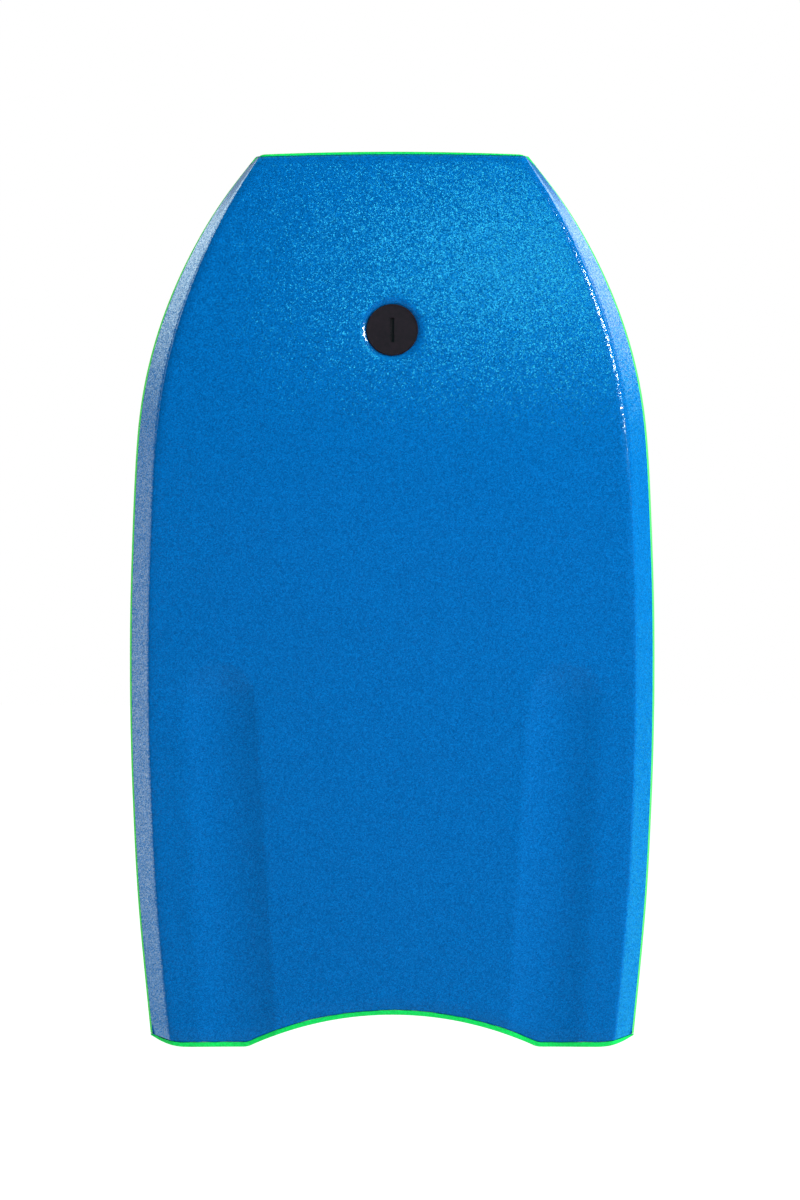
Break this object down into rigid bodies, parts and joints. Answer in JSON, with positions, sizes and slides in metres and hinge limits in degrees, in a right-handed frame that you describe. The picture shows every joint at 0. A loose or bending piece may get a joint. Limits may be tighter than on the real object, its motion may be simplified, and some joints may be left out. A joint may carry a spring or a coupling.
{
  "type": "bodyboard",
  "caption": "Foam bodyboard with a slick channelled bottom, chined rails, crescent tail, lifted nose and a screw-together leash plug.",
  "frame": {"origin": "centre of the standing box's foot, with the board standing on its two tail pads, so the pads are on Z = 0", "axes": "+Z runs from the tail to the nose, +X across the board, +Y from the slick bottom to the deck; the slick bottom faces -Y"},
  "size_m": [0.4914, 0.0645, 0.838],
  "materials": {
    "core_foam": "matte",
    "deck_foam": "satin",
    "slick_sheet": "satin",
    "rail_foam": "satin",
    "bumper_foam": "satin",
    "plug_plastic": "satin"
  },
  "bodies": {
    "board": {"foam_core": "core_foam", "deck_skin": "deck_foam", "slick_bottom": "slick_sheet", "rail_strip_left": "rail_foam", "rail_strip_right": "rail_foam", "nose_bumper": "bumper_foam", "tail_bumper": "bumper_foam"},
    "plug_screw": {"leash_plug_screw": "plug_plastic"},
    "plug_top": {"leash_plug_top": "plug_plastic"}
  },
  "joints": [
    {"name": "plug_turn", "type": "hinge", "parent": "board", "child": "plug_screw", "pos_m": [0, -0.02432, 0.6705], "axis": [0, -0.998, 0.0628], "range_deg": [0, 1800]},
    {"name": "plug_rise", "type": "slide", "parent": "board", "child": "plug_top", "axis": [0, 0.998, -0.0628], "range_m": [0, 0.015]}
  ],
  "couplings": [
    {"joint": "plug_rise", "follows": "plug_turn", "m_per_rad": 0.00047746}
  ]
}
